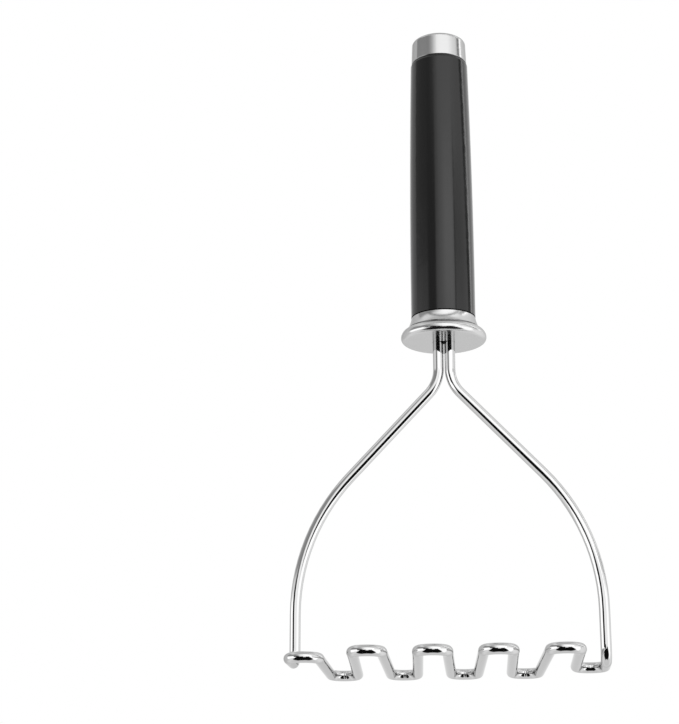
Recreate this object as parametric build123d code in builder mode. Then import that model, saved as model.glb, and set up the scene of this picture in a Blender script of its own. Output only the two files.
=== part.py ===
from build123d import *
import os
from math import pi, sqrt

os.makedirs("parts", exist_ok=True)

# Wire potato masher: one bent wire with a serpentine foot, held in a round handle.
# Millimetres. Z runs up the handle, X across the foot, Y through its depth.
# The foot stands on z = 0 and the handle's axis is the Z axis.

# ---- driving dimensions ----
total_height = 260.1
total_width = 121.9
foot_depth = 78.8
wire_d = 4.2

# heights along the handle
flange_z = 128.8
neck_top_z = 138.4
grip_z = 138.9
grip_top_z = 249.6
cap_z = 250.1

# ---- wire ----
wire_r = wire_d / 2
leg_x = total_width / 2 - wire_r          # centre line of each leg at the foot
foot_y = foot_depth / 2 - wire_r          # centre line of the full-depth loops
end_loop_y = 21.5                         # the half-depth loop at each end
neck_x = 2.3                              # half the spacing of the legs at the neck
shoulder_z = 112.0                        # the legs part here
shoulder_r = 14.5
bow_z = 52.2                              # the legs' slope and drop would meet here
bow_r = 78.0
leg_bend_r = 5.0
loop_pitch = 23.85                        # spacing of the loops on one side
loop_offset = 4.25                        # a side's middle loops sit this far off centre
loop_width = 10.6                         # across the closed end of a loop
loop_bend_r = 5.15
end_loop_x = 47.6                         # inner run of the half-depth loop
hook_z = 196.0                            # centre line of the hooked ends, inside the handle
hook_x = 8.2
hook_bend_r = 4.6

# ---- collar ----
flange_r = 17.0
flange_t = 4.6
rim_lip_r = 1.7                           # round between the rim and the flat underside
rim_top_r = 15.1                          # the rim's crown ends here, beside the quirk
quirk_r = 13.1                            # floor of the narrow groove between flange and neck
quirk_h = 0.7
neck_foot_r = 14.3
neck_r = 12.8
neck_scoop = 0.2                          # depth of the neck's concave sweep
spigot_r = 9.45
spigot_z = 144.5
collar_pocket_r = 8.2
collar_base_t = 2.2
slot_play = 0.06

# ---- grip ----
grip_base_r = 12.82
grip_belly_r = 12.69
grip_shoulder_r = 11.75
grip_edge_r = 0.9
grip_foot_edge_r = 0.3
lower_bore_r = 9.6
upper_bore_r = 9.2
web_z = 214.9
web_t = 3.0
screw_clearance_r = 2.4

# ---- anchor core, screw and washer ----
core_r = 9.4
core_nose_r = 8.0
core_gap = 0.1
core_top_z = 214.5
wire_seat_play = 0.04
flute_count = 4
flute_depth = 1.4
flute_width = 3.0
flute_foot_gap = 8.0                      # solid length below the flutes
flute_head_gap = 12.0                     # from the flutes up to the hooked ends
screw_r = 1.95
screw_length = 16.5
screw_tip_bevel = 0.9
pilot_play = 0.05
washer_r = 5.6
washer_t = 1.0
washer_play = 0.15
washer_edge_r = 0.3
head_r = 4.0
head_h = 2.8
head_edge_r = 1.2
recess_r = 1.25
recess_depth = 1.6

# ---- end cap and its plug ----
cap_r = 11.42                             # at the open edge
cap_top_r = 11.05
cap_wall = 0.8
cap_edge_r = 1.6
cap_lip_bevel = 0.1
plug_play = 0.05
plug_collar_r = 11.2
plug_spigot_r = 9.15
plug_depth = 13.0
plug_wall = 1.8
plug_lead_in = 0.5

# ---- seal ----
seal_r = 12.25


# ---- the wire's centre line ----
def turned(points):
    """The same points, half a turn round the Z axis, in reverse order."""
    return [(-x, -y, z) for x, y, z in reversed(points)]


def loop_corners(x, y):
    """The two corners of one closed loop end."""
    return [(x - loop_width / 2, y, wire_r), (x + loop_width / 2, y, wire_r)]


near_x = [-loop_offset + step * loop_pitch for step in (-1, 0, 1, 2)]
far_x = [-x for x in reversed(near_x)]

leg_points = [
    (-hook_x, 0, hook_z),
    (-neck_x, 0, hook_z),
    (-neck_x, 0, shoulder_z),
    (-leg_x, 0, bow_z),
    (-leg_x, 0, wire_r),
]
leg_radii = [hook_bend_r, shoulder_r, bow_r, leg_bend_r]
end_points = [(-leg_x, -end_loop_y, wire_r), (-end_loop_x, -end_loop_y, wire_r)]

loop_points = []
for far, near in zip(far_x, near_x):
    loop_points += loop_corners(far, foot_y)
    loop_points += loop_corners(near, -foot_y)

wire_points = leg_points + end_points + loop_points + turned(end_points) + turned(leg_points)
foot_bends = len(loop_points) + 2 * len(end_points)
wire_radii = leg_radii + [loop_bend_r] * foot_bends + leg_radii[::-1]


def cylinder_span(radius, low, high):
    """Adds a plain cylinder on the Z axis between two heights."""
    with BuildSketch(Plane.XY.offset(low)) as section:
        Circle(radius)
    extrude(section.sketch, amount=high - low)


def bore_span(radius, low, high):
    """Cuts a plain round bore on the Z axis between two heights."""
    with BuildSketch(Plane.XY.offset(low)) as section:
        Circle(radius)
    extrude(section.sketch, amount=high - low, mode=Mode.SUBTRACT)


def wire_sweep(radius):
    """The bent wire as one solid of the given section radius."""
    with BuildPart() as swept:
        with BuildLine() as route:
            FilletPolyline(*wire_points, radius=wire_radii)
        path = route.wires()[0]
        with BuildSketch(Plane(origin=path @ 0, z_dir=path % 0)):
            Circle(radius)
        sweep(path=path)
    return swept.part, path.length


wire, wire_length = wire_sweep(wire_r)
wire.label = "masher_wire"
export_step(wire, "parts/masher_wire.step")
volume_ratio = wire.volume / (wire_length * pi * wire_r**2)
print("wire length", round(wire_length, 1), "volume ratio", round(volume_ratio, 4))


# ---- collar: turned flange, narrow groove and concave neck over a hollow spigot ----
rim_mid_z = flange_z + rim_lip_r
underside_r = flange_r - rim_lip_r
flange_top_z = flange_z + flange_t
neck_foot_z = flange_top_z + quirk_h
neck_mid_r = (neck_foot_r + neck_r) / 2 - neck_scoop
neck_mid_z = (neck_foot_z + neck_top_z) / 2

with BuildPart() as collar:
    with BuildSketch(Plane.XZ):
        with BuildLine():
            Line((0, flange_z), (underside_r, flange_z))
            TangentArc((flange_r, rim_mid_z), (underside_r, flange_z), tangent=(0, -1))
            TangentArc((flange_r, rim_mid_z), (rim_top_r, flange_top_z), tangent=(0, 1))
            Polyline(
                (rim_top_r, flange_top_z),
                (quirk_r, flange_top_z),
                (quirk_r, neck_foot_z),
                (neck_foot_r, neck_foot_z),
            )
            ThreePointArc((neck_foot_r, neck_foot_z), (neck_mid_r, neck_mid_z), (neck_r, neck_top_z))
            Polyline(
                (neck_r, neck_top_z),
                (spigot_r, neck_top_z),
                (spigot_r, spigot_z),
                (0, spigot_z),
                (0, flange_z),
            )
        make_face()
    revolve(axis=Axis.Z)
    bore_span(collar_pocket_r, flange_z + collar_base_t, spigot_z)
    with BuildSketch(Plane.XY.offset(flange_z)):
        SlotCenterToCenter(2 * neck_x, wire_d + 2 * slot_play)
    extrude(amount=collar_base_t, mode=Mode.SUBTRACT)
collar.part.label = "collar"
export_step(collar.part, "parts/collar.step")


# ---- seal: flat ring between the collar and the grip ----
with BuildPart() as seal:
    with BuildSketch(Plane.XY.offset(neck_top_z)):
        Circle(seal_r)
        Circle(lower_bore_r, mode=Mode.SUBTRACT)
    extrude(amount=grip_z - neck_top_z)
seal.part.label = "collar_seal"
export_step(seal.part, "parts/collar_seal.step")


# ---- grip: barrel-shaped tube with a web across its bore ----
grip_mid_z = (grip_z + grip_top_z) / 2
with BuildPart() as grip:
    with BuildSketch(Plane.XZ) as grip_section:
        with BuildLine():
            ThreePointArc((grip_base_r, grip_z), (grip_belly_r, grip_mid_z), (grip_shoulder_r, grip_top_z))
            Polyline(
                (grip_shoulder_r, grip_top_z),
                (0, grip_top_z),
                (0, grip_z),
                (grip_base_r, grip_z),
            )
        make_face()
        outer_corners = grip_section.vertices().group_by(Axis.X)[1:]
        fillet(outer_corners[0], radius=grip_edge_r)
        fillet(outer_corners[1], radius=grip_foot_edge_r)
    revolve(axis=Axis.Z)
    bore_span(lower_bore_r, grip_z, web_z)
    bore_span(screw_clearance_r, web_z, web_z + web_t)
    bore_span(upper_bore_r, web_z + web_t, grip_top_z)
grip.part.label = "grip"
export_step(grip.part, "parts/grip.step")


# ---- anchor core: moulded round the hooked wire ends, with lightening flutes ----
screw_tip_z = web_z + web_t + washer_t - screw_length
wire_seat, _ = wire_sweep(wire_r + wire_seat_play)

with BuildPart() as core:
    cylinder_span(core_nose_r, flange_z + collar_base_t + core_gap, spigot_z + core_gap)
    cylinder_span(core_r, spigot_z + core_gap, core_top_z)
    flute_low = spigot_z + flute_foot_gap
    flute_high = hook_z - flute_head_gap
    with BuildSketch(Plane.XY.offset(flute_low)):
        with PolarLocations(core_r, flute_count, start_angle=45):
            Rectangle(flute_depth * 2, flute_width)
    extrude(amount=flute_high - flute_low, mode=Mode.SUBTRACT)
    bore_span(screw_r + pilot_play, screw_tip_z - core_gap, core_top_z)
    add(wire_seat, mode=Mode.SUBTRACT)
core.part.label = "anchor_core"
export_step(core.part, "parts/anchor_core.step")


# ---- washer and tie screw, under the end cap ----
seat_z = web_z + web_t
with BuildPart() as washer:
    with BuildSketch(Plane.XY.offset(seat_z)):
        Circle(washer_r)
        Circle(screw_r + washer_play, mode=Mode.SUBTRACT)
    extrude(amount=washer_t)
    fillet(washer.faces().sort_by(Axis.Z)[-1].edges().sort_by(SortBy.RADIUS)[-1], radius=washer_edge_r)
washer.part.label = "tie_washer"
export_step(washer.part, "parts/tie_washer.step")

head_z = seat_z + washer_t
with BuildPart() as screw:
    cylinder_span(screw_r, screw_tip_z, head_z)
    chamfer(screw.edges().sort_by(Axis.Z)[0], length=screw_tip_bevel)
    cylinder_span(head_r, head_z, head_z + head_h)
    fillet(screw.edges().sort_by(Axis.Z)[-1], radius=head_edge_r)
    with BuildSketch(Plane.XY.offset(head_z + head_h)):
        RegularPolygon(recess_r * 2 / sqrt(3), 6)
    extrude(amount=-recess_depth, mode=Mode.SUBTRACT)
screw.part.label = "tie_screw"
export_step(screw.part, "parts/tie_screw.step")


# ---- end cap: drawn steel cup, lightly tapered ----
with BuildPart() as cap:
    with BuildSketch(Plane.XZ):
        with BuildLine():
            Polyline(
                (0, total_height),
                (cap_top_r, total_height),
                (cap_r, cap_z + cap_lip_bevel),
                (cap_r - cap_lip_bevel, cap_z),
                (cap_r - cap_wall, cap_z),
                (cap_top_r - cap_wall, total_height - cap_wall),
                (0, total_height - cap_wall),
                (0, total_height),
            )
        make_face()
    revolve(axis=Axis.Z)
    rim = cap.faces().sort_by(Axis.Z)[-1].edges().sort_by(SortBy.RADIUS)[-1]
    fillet(rim, radius=cap_edge_r)
    inner_top = cap.faces().filter_by(GeomType.PLANE).sort_by(Axis.Z)[-2]
    fillet(inner_top.edges(), radius=cap_edge_r - cap_wall / 2)
cap.part.label = "end_cap"
export_step(cap.part, "parts/end_cap.step")


# ---- plug: fills the cup and snaps into the grip's upper bore ----
plug_top_z = total_height - cap_wall - plug_play
plug_low_z = grip_top_z - plug_depth
with BuildPart() as plug:
    with BuildSketch(Plane.XZ):
        with BuildLine():
            Polyline(
                (0, plug_top_z),
                (cap_top_r - cap_wall - 2 * plug_play, plug_top_z),
                (cap_r - cap_wall - plug_play, cap_z),
                (plug_collar_r, cap_z),
                (plug_collar_r, grip_top_z),
                (plug_spigot_r, grip_top_z),
                (plug_spigot_r, plug_low_z),
                (plug_spigot_r - plug_wall, plug_low_z),
                (plug_spigot_r - plug_wall, plug_top_z - plug_wall),
                (0, plug_top_z - plug_wall),
                (0, plug_top_z),
            )
        make_face()
    revolve(axis=Axis.Z)
    top_rim = plug.faces().sort_by(Axis.Z)[-1].edges()
    fillet(top_rim, radius=cap_edge_r)
    lead_in = plug.faces().sort_by(Axis.Z)[0].edges().sort_by(SortBy.RADIUS)[-1]
    chamfer(lead_in, length=plug_lead_in)
plug.part.label = "cap_plug"
export_step(plug.part, "parts/cap_plug.step")
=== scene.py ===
"""A wire potato masher: a bent steel wire, a turned collar, a black grip and a steel end cap.

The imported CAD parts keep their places. The wire is rebuilt here as one smooth tube with drawn-wire
detail along it, and every part gets a material. Lengths are metres, angles are degrees.
"""
import math

import bpy
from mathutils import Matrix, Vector


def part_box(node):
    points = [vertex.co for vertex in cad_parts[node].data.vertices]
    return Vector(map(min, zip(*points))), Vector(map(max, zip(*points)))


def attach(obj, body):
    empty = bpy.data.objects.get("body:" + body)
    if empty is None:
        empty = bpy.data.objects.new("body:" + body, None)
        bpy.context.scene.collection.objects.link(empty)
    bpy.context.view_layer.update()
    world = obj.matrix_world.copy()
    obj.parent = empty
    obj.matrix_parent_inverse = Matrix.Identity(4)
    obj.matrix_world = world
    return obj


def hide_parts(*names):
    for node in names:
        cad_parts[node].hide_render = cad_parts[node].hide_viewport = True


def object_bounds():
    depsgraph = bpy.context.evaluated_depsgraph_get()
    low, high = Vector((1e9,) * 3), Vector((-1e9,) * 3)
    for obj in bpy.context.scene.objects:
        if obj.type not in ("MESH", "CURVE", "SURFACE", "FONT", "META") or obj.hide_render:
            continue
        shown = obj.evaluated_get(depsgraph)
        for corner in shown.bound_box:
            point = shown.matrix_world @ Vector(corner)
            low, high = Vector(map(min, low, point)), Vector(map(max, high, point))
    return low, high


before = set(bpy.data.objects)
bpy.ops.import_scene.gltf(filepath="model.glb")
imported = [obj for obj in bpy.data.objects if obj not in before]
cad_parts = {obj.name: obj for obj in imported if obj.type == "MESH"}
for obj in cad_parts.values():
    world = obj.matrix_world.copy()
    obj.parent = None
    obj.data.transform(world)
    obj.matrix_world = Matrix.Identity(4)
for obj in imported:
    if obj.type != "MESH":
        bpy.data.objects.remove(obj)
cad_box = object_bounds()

MM = 0.001
MICRON = 0.000001


# ---------------------------------------------------------------- node helpers

class Tree:
    """Adds nodes to one node tree and links them as it goes."""

    def __init__(self, tree):
        self.tree = tree

    def add(self, kind, inputs=None, **settings):
        """A new node with its properties set, and its inputs linked or set."""
        node = self.tree.nodes.new("ShaderNode" + kind)
        for name, value in settings.items():
            setattr(node, name, value)
        for name, value in (inputs or {}).items():
            self.feed(node.inputs[name], value)
        return node

    def feed(self, socket, value):
        """Links the socket to another one, or sets it to a constant."""
        if isinstance(value, bpy.types.NodeSocket):
            self.tree.links.new(value, socket)
        else:
            socket.default_value = value

    def math(self, operation, *values):
        return self.add("Math", dict(enumerate(values)), operation=operation).outputs[0]

    def ramp(self, value, low, high, to_low=0.0, to_high=1.0):
        """value from low..high mapped smoothly onto to_low..to_high."""
        inputs = {"Value": value, "From Min": low, "From Max": high, "To Min": to_low, "To Max": to_high}
        return self.add("MapRange", inputs, interpolation_type="SMOOTHSTEP").outputs["Result"]

    def blend(self, share, first, second):
        """first where share is 0, second where it is 1."""
        inputs = {"Factor": share, "A": first, "B": second}
        return self.add("Mix", inputs, data_type="FLOAT").outputs["Result"]

    def noise(self, vector, scale, detail=3.0, rough=0.55):
        inputs = {"Vector": vector, "Scale": scale, "Detail": detail, "Roughness": rough}
        return self.add("TexNoise", inputs).outputs["Fac"]

    def vector(self, x=0.0, y=0.0, z=0.0):
        return self.add("CombineXYZ", {"X": x, "Y": y, "Z": z}).outputs[0]

    def parts(self, vector):
        """The X, Y and Z of a vector, by name."""
        return self.add("SeparateXYZ", {"Vector": vector}).outputs

    def length(self, vector):
        return self.add("VectorMath", {0: vector}, operation="LENGTH").outputs["Value"]


def new_material(name, **constants):
    """A Principled material with its constants set on the shader's own sockets."""
    material = bpy.data.materials.new(name)
    material.use_nodes = True
    shader = material.node_tree.nodes["Principled BSDF"]
    for socket, value in constants.items():
        shader.inputs[socket.replace("_", " ")].default_value = value
    return material, Tree(material.node_tree), shader


def set_surface(tree, shader, pattern, relief, greys, roughness, depth):
    """pattern runs between the two greys and the two roughnesses, and relief makes bumps of this depth."""
    noise_low, noise_high = 0.25, 0.75
    colour = tree.add("ValToRGB", {"Fac": pattern})
    for element, grey in zip(colour.color_ramp.elements, greys):
        element.color = (grey, grey, grey, 1)
    tree.feed(shader.inputs["Base Color"], colour.outputs["Color"])
    tree.feed(shader.inputs["Roughness"], tree.ramp(pattern, noise_low, noise_high, *roughness))
    bump = tree.add("Bump", {"Height": relief, "Distance": depth, "Strength": 1.0})
    tree.feed(shader.inputs["Normal"], bump.outputs["Normal"])


# ---------------------------------------------------------------- materials

EDGE_TINT = (0.67, 0.67, 0.67, 1)         # steel mirrors less at a slant than chrome does


def polished_wire():
    """Drawn and polished stainless wire: fine lines along it, faint cloudy wear."""
    material, tree, shader = new_material("polished_wire", Metallic=1.0, Specular_Tint=EDGE_TINT)
    coordinates = tree.add("TexCoord").outputs
    along_and_around = tree.parts(coordinates["UV"])
    turn = tree.math("MULTIPLY", along_and_around["Y"], 2 * math.pi)
    unrolled = tree.vector(tree.math("COSINE", turn), tree.math("SINE", turn), along_and_around["X"])
    lines = tree.noise(unrolled, scale=7.0, detail=2.0, rough=0.5)
    clouds = tree.noise(coordinates["Object"], scale=160.0)
    set_surface(tree, shader, tree.blend(0.4, clouds, lines), lines,
                greys=(0.60, 0.67), roughness=(0.02, 0.05), depth=0.6 * MICRON)
    return material


def turned_steel(name, greys, roughness, depth, **constants):
    """Steel turned on a lathe: rings round the Z axis, broken up a little round the part."""
    material, tree, shader = new_material(name, Metallic=1.0, Specular_Tint=EDGE_TINT, **constants)
    place = tree.add("TexCoord").outputs["Object"]
    parts = tree.parts(place)
    radius = tree.length(tree.vector(parts["X"], parts["Y"]))
    angle = tree.math("ARCTAN2", parts["Y"], parts["X"])
    wander = tree.math("MULTIPLY", tree.math("COSINE", angle), 0.04 * MM)
    rings = tree.noise(tree.vector(radius, parts["Z"], wander), scale=9000.0, detail=2.0)
    clouds = tree.noise(place, scale=220.0)
    set_surface(tree, shader, tree.blend(0.5, clouds, rings), rings, greys, roughness, depth)
    return material


def plastic(name, greys, roughness, grain, depth, **constants):
    """Moulded plastic: mould grain of a given scale, patches handled smooth, a few hairline scuffs."""
    material, tree, shader = new_material(name, **constants)
    place = tree.add("TexCoord").outputs["Object"]
    fine = tree.noise(place, scale=grain, detail=4.0, rough=0.6)
    patches = tree.noise(place, scale=45.0, detail=2.0)
    stretched = tree.add("Mapping", {"Vector": place, "Scale": (1.0, 1.0, 0.06)}).outputs["Vector"]
    scuffs = tree.noise(stretched, scale=1900.0, detail=2.0, rough=0.7)
    set_surface(tree, shader, tree.blend(0.45, patches, scuffs), fine, greys, roughness, depth)
    return material


# ---------------------------------------------------------------- the wire

def straight_handles(start, end):
    """The two handles of a straight stretch, at a third and two thirds of the way."""
    return start.lerp(end, 1 / 3), start.lerp(end, 2 / 3)


def rounded_spline(curve, corners, radii):
    """One Bezier spline through straight runs, with an arc of the given radius at each inner corner."""
    knots = [corners[0]]
    handles = []                          # a pair for each stretch between two knots
    for before, corner, after, radius in zip(corners, corners[1:-1], corners[2:], radii):
        back = (before - corner).normalized()
        ahead = (after - corner).normalized()
        turn = math.pi - back.angle(ahead)
        reach = radius * math.tan(turn / 2)
        pull = 4 / 3 * math.tan(turn / 4) * radius
        start = corner + back * reach
        end = corner + ahead * reach
        handles += [straight_handles(knots[-1], start), (start - back * pull, end - ahead * pull)]
        knots += [start, end]
    handles.append(straight_handles(knots[-1], corners[-1]))
    knots.append(corners[-1])

    points = curve.splines.new("BEZIER").bezier_points
    points.add(len(knots) - 1)
    for point, knot in zip(points, knots):
        point.handle_left_type = point.handle_right_type = "FREE"
        point.co = point.handle_left = point.handle_right = knot
    for first, second, (leaving, arriving) in zip(points, points[1:], handles):
        first.handle_right = leaving
        second.handle_left = arriving


def wire_route(wire_r):
    """The corners of the wire's centre line, and the radius of the bend at each inner one.

    It starts at the hook inside the handle, goes down the left leg, through the foot and up the right leg.
    Half a turn about the Z axis maps it onto itself.
    """
    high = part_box("masher_wire")[1]
    leg_x = high.x - wire_r
    foot_y = high.y - wire_r
    hook_z = high.z - wire_r
    end_loop_y = 21.5 * MM
    end_loop_x = 47.6 * MM
    hook_x, neck_x = 8.2 * MM, 2.3 * MM
    shoulder_z, bow_z = 112 * MM, 52.2 * MM
    loop_pitch, loop_offset, loop_width = 23.85 * MM, 4.25 * MM, 10.6 * MM
    hook_r, shoulder_r, bow_r = 4.6 * MM, 14.5 * MM, 78 * MM
    leg_bend_r, loop_r = 5 * MM, 5.15 * MM

    leg = [(-hook_x, 0, hook_z), (-neck_x, 0, hook_z), (-neck_x, 0, shoulder_z), (-leg_x, 0, bow_z),
           (-leg_x, 0, wire_r), (-leg_x, -end_loop_y, wire_r), (-end_loop_x, -end_loop_y, wire_r)]
    leg_radii = [hook_r, shoulder_r, bow_r, leg_bend_r, loop_r, loop_r]
    near = [-loop_offset + step * loop_pitch for step in (-1, 0, 1, 2)]
    far = [-x for x in reversed(near)]
    loops = []
    for far_x, near_x in zip(far, near):
        for x, y in ((far_x, foot_y), (near_x, -foot_y)):
            loops += [(x - loop_width / 2, y, wire_r), (x + loop_width / 2, y, wire_r)]
    other_leg = [(-x, -y, z) for x, y, z in reversed(leg)]
    corners = [Vector(p) for p in leg + loops + other_leg]
    return corners, leg_radii + [loop_r] * len(loops) + leg_radii[::-1]


def masher_wire():
    """The legs and the serpentine foot, as one bent wire."""
    wire_r = 2.1 * MM
    curve = bpy.data.curves.new("bent_wire_route", "CURVE")
    curve.dimensions = "3D"
    curve.resolution_u = 14
    curve.bevel_depth = wire_r
    curve.bevel_resolution = 8
    curve.use_fill_caps = True
    rounded_spline(curve, *wire_route(wire_r))
    route = bpy.data.objects.new("bent_wire_route", curve)
    mesh = bpy.data.meshes.new_from_object(route)
    wire = bpy.data.objects.new("bent_wire", mesh)
    bpy.context.scene.collection.objects.link(wire)
    for face in mesh.polygons:
        face.use_smooth = True
    mesh.materials.append(polished_wire())
    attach(wire, "root")
    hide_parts("masher_wire")


# ---------------------------------------------------------------- the carried-over parts

def paint_parts():
    """Gives each CAD part that is carried over its material."""
    fastener_steel = turned_steel("fastener_steel", greys=(0.50, 0.58), roughness=(0.20, 0.34),
                                  depth=4 * MICRON)
    finishes = {
        "collar": turned_steel("polished_steel", greys=(0.60, 0.66), roughness=(0.15, 0.20),
                               depth=1.5 * MICRON),
        "end_cap": turned_steel("satin_steel", greys=(0.53, 0.59), roughness=(0.10, 0.15),
                                depth=2 * MICRON, Anisotropic=0.7, Anisotropic_Rotation=0.25),
        "grip": plastic("grip_plastic", greys=(0.002, 0.005), roughness=(0.08, 0.17),
                        grain=2600.0, depth=4 * MICRON),
        "cap_plug": plastic("plug_plastic", greys=(0.008, 0.013), roughness=(0.34, 0.48),
                            grain=2200.0, depth=10 * MICRON),
        "anchor_core": plastic("core_nylon", greys=(0.45, 0.56), roughness=(0.40, 0.55),
                               grain=1500.0, depth=10 * MICRON),
        # the seal: black rubber, darkened further and given a weak shine as painted shade for the deep gap
        # at the neck
        "collar_seal": plastic("seal_rubber", greys=(0.002, 0.005), roughness=(0.60, 0.80),
                               grain=3200.0, depth=10 * MICRON, Specular_IOR_Level=0.1),
        "tie_screw": fastener_steel,
        "tie_washer": fastener_steel,
    }
    for node, material in finishes.items():
        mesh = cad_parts[node].data
        mesh.materials.clear()
        mesh.materials.append(material)


# ---------------------------------------------------------------- studio

class Surroundings:
    """What the polished steel mirrors: a brightness for every direction, built up from soft-edged cards.

    A card lies over the ones before it. Directions are azimuths, in degrees right of the front, and
    elevations, in degrees above the horizon. A pair of them is a span.
    """

    def __init__(self, tree, brightness):
        ray = tree.parts(tree.add("TexCoord").outputs["Generated"])
        self.tree = tree
        self.side = ray["X"]
        self.front = tree.math("MULTIPLY", ray["Y"], -1.0)
        self.up = ray["Z"]
        self.azimuth = tree.math("DEGREES", tree.math("ARCTAN2", self.side, self.front))
        self.elevation = tree.math("DEGREES", tree.math("ARCSINE", self.up))
        self.brightness = brightness

    def window(self, value, span, soft):
        """1 inside the span, 0 outside it, with smooth edges soft wide."""
        low, high = span
        rise = self.tree.ramp(value, low - soft / 2, low + soft / 2)
        fall = self.tree.ramp(value, high - soft / 2, high + soft / 2, 1.0, 0.0)
        return self.tree.math("MULTIPLY", rise, fall)

    def lay(self, share, brightness):
        """Covers what is there with a brightness, by a share from 0 to 1."""
        self.brightness = self.tree.blend(share, self.brightness, brightness)

    def band(self, elevations, brightness, soft):
        """A card all the way round."""
        self.lay(self.window(self.elevation, elevations, soft), brightness)

    def card(self, azimuths, elevations, brightness, soft, side_soft=None, lean=0.0):
        """A card in one place. lean moves its sides left as they rise."""
        across = self.azimuth
        if lean:
            across = self.tree.math("ADD", across, self.tree.math("MULTIPLY", self.elevation, lean))
        sides = self.window(across, azimuths, side_soft or soft)
        ends = self.window(self.elevation, elevations, soft)
        self.lay(self.tree.math("MULTIPLY", sides, ends), brightness)

    def ceiling_gap(self, slope, half, lowest, brightness):
        """The dark gap between the front softbox's straight top edge and the ceiling, from lowest up."""
        fade_in = 12
        height = self.tree.math("SUBTRACT", self.up, self.tree.math("MULTIPLY", self.front, slope))
        overhead = self.tree.ramp(self.elevation, lowest, lowest + fade_in)
        gap = self.window(height, (-half, half), half)
        self.lay(self.tree.math("MULTIPLY", overhead, gap), brightness)

    def opening(self, elevations, narrow, spread, widest, brightness, soft):
        """The dark opening at the front: narrow at the horizon and spreading downwards.

        Its slanting upper sides are sharp. Lower down it fades out sideways, at most widest across.
        """
        sharp, faded = 0.03, 0.25
        sideways = self.tree.math("ABSOLUTE", self.side)
        wedge = self.tree.math("SUBTRACT", self.tree.math("MULTIPLY", self.front, narrow),
                               self.tree.math("MULTIPLY", self.up, spread))
        upper = self.tree.ramp(self.tree.math("SUBTRACT", wedge, sideways), -sharp, sharp)
        span = self.tree.math("MULTIPLY", self.front, widest)
        lower = self.tree.ramp(self.tree.math("SUBTRACT", span, sideways), -faded, faded)
        sides = self.tree.math("MULTIPLY", upper, lower)
        ends = self.window(self.elevation, elevations, soft)
        self.lay(self.tree.math("MULTIPLY", sides, ends), brightness)


def light_tent(tree):
    """The walls, softboxes and gaps round the object. Between them it is plain white."""
    room = Surroundings(tree, brightness=1.0)
    # the ground and the ceiling
    room.band((-90, -48), brightness=0.85, soft=20)
    room.band((60, 90), brightness=0.68, soft=10)
    # left side: a dull wall behind, a low softbox, and a dim wall above it
    room.card((-150, -94), (-30, 50), brightness=0.75, soft=20)
    room.card((-96, -38), (-16, 13), brightness=1.7, soft=6)
    room.card((-105, -8), (19, 44), brightness=0.36, soft=5)
    # right side: a low softbox, and a weaker one behind it
    room.card((30, 95), (-46, 15), brightness=1.6, soft=6)
    room.card((90, 150), (-40, 12), brightness=1.1, soft=10)
    # front: a softbox, brighter towards its middle, the wall to its right, and the sill under it
    room.card((-18, 65), (14, 62), brightness=1.5, soft=6, side_soft=56)
    room.card((8, 46), (12, 25), brightness=2.1, soft=6, side_soft=26)
    room.card((50, 104), (18.7, 24), brightness=0.87, soft=1.2)
    room.card((-20, 34), (1, 16), brightness=1.3, soft=3, side_soft=6)
    room.ceiling_gap(slope=1.75, half=0.12, lowest=30, brightness=0.25)
    # narrow joins: two at the front right, one between the right side's softboxes
    room.card((26, 32), (-2, 15), brightness=0.95, soft=3)
    room.card((47, 52), (14, 25), brightness=0.6, soft=3)
    room.card((86, 96), (-10, 13), brightness=0.9, soft=4)
    # higher on the right: a leaning gap, with a strip light beside it
    room.card((133, 146), (14, 45), brightness=0.2, soft=4, lean=1.5)
    room.card((148, 156), (14, 45), brightness=2.2, soft=2, lean=1.5)
    # front left: a shaded corner and the black join under it
    room.card((-50, -20), (8, 27), brightness=0.3, soft=8)
    room.card((-48, -15), (0, 14), brightness=0.01, soft=4)
    # the dark opening at the front, with a black step and a bright notch in its top edge
    room.opening((-74, 3), narrow=0.6, spread=0.92, widest=2.2, brightness=0.006, soft=4)
    room.card((-16, -2), (-3, 7), brightness=0.006, soft=3)
    room.card((-2, 11), (-6, 7), brightness=1.3, soft=3)
    return room.brightness


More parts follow.
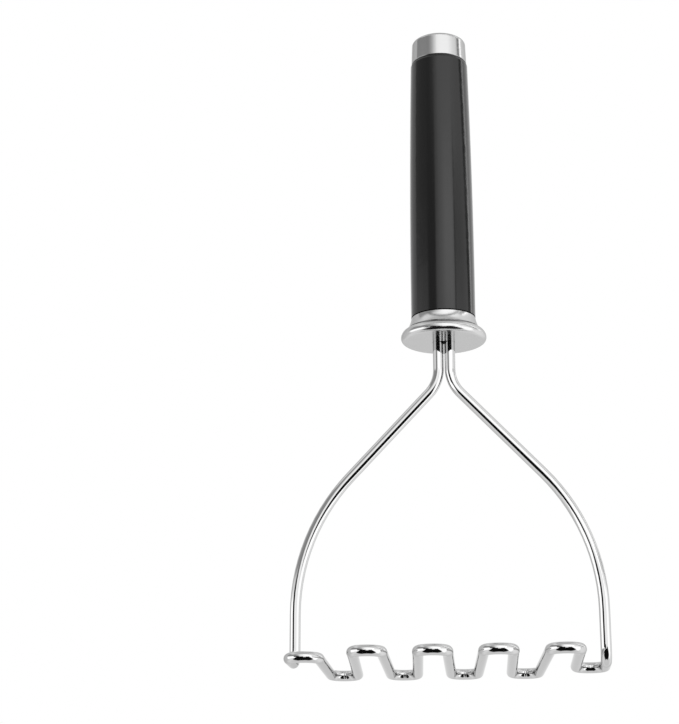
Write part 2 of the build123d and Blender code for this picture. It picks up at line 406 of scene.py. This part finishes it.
def studio_world():
    """The object is lit by the light tent. The backdrop behind it is plain white."""
    world = bpy.data.worlds.new("studio")
    bpy.context.scene.world = world
    world.use_nodes = True
    world.node_tree.nodes.clear()
    tree = Tree(world.node_tree)
    lit = tree.add("Background", {"Color": light_tent(tree)}).outputs[0]
    backdrop = tree.add("Background", {"Color": (1, 1, 1, 1)}).outputs[0]
    seen = tree.add("LightPath").outputs["Is Camera Ray"]
    mixed = tree.add("MixShader", {0: seen, 1: lit, 2: backdrop}).outputs[0]
    tree.add("OutputWorld", {"Surface": mixed})


def pale_floor():
    """A pale floor that fades out with distance and shows only from above."""
    radius, steps = 1.6, 96
    below_the_foot = 0.1 * MM
    fade_start, fade_end = 0.3 * radius, 0.95 * radius
    angles = [2 * math.pi * k / steps for k in range(steps)]
    rim = [(radius * math.cos(angle), radius * math.sin(angle), 0) for angle in angles]
    mesh = bpy.data.meshes.new("floor")
    mesh.from_pydata(rim, [], [list(range(steps))])
    floor = bpy.data.objects.new("floor", mesh)
    bpy.context.scene.collection.objects.link(floor)
    floor.location.z = cad_box[0].z - below_the_foot
    floor.visible_glossy = False
    floor.visible_shadow = False

    material, tree, shader = new_material("floor", Base_Color=(0.82, 0.82, 0.82, 1), Roughness=0.8)
    fade = tree.ramp(tree.length(tree.add("TexCoord").outputs["Object"]), fade_start, fade_end)
    below = tree.add("NewGeometry").outputs["Backfacing"]
    gone = tree.math("MAXIMUM", fade, below)
    clear = tree.add("BsdfTransparent").outputs[0]
    mixed = tree.add("MixShader", {0: gone, 1: shader.outputs[0], 2: clear}).outputs[0]
    tree.feed(material.node_tree.nodes["Material Output"].inputs["Surface"], mixed)
    mesh.materials.append(material)


def studio_camera():
    """The photograph's view: from below the foot, a little to its right, looking up."""
    tilt_up, turn_left = 16.83, 6.17
    camera = bpy.data.cameras.new("camera")
    camera.sensor_width = 36
    camera.lens = 88.965
    camera.clip_start = 0.01
    holder = bpy.data.objects.new("camera", camera)
    bpy.context.scene.collection.objects.link(holder)
    holder.location = (0.03177, -0.68010, -0.08489)
    holder.rotation_euler = (math.radians(90 + tilt_up), 0, math.radians(turn_left))
    bpy.context.scene.camera = holder
    bpy.context.scene.view_settings.view_transform = "Standard"


masher_wire()
paint_parts()
studio_world()
pale_floor()
studio_camera()
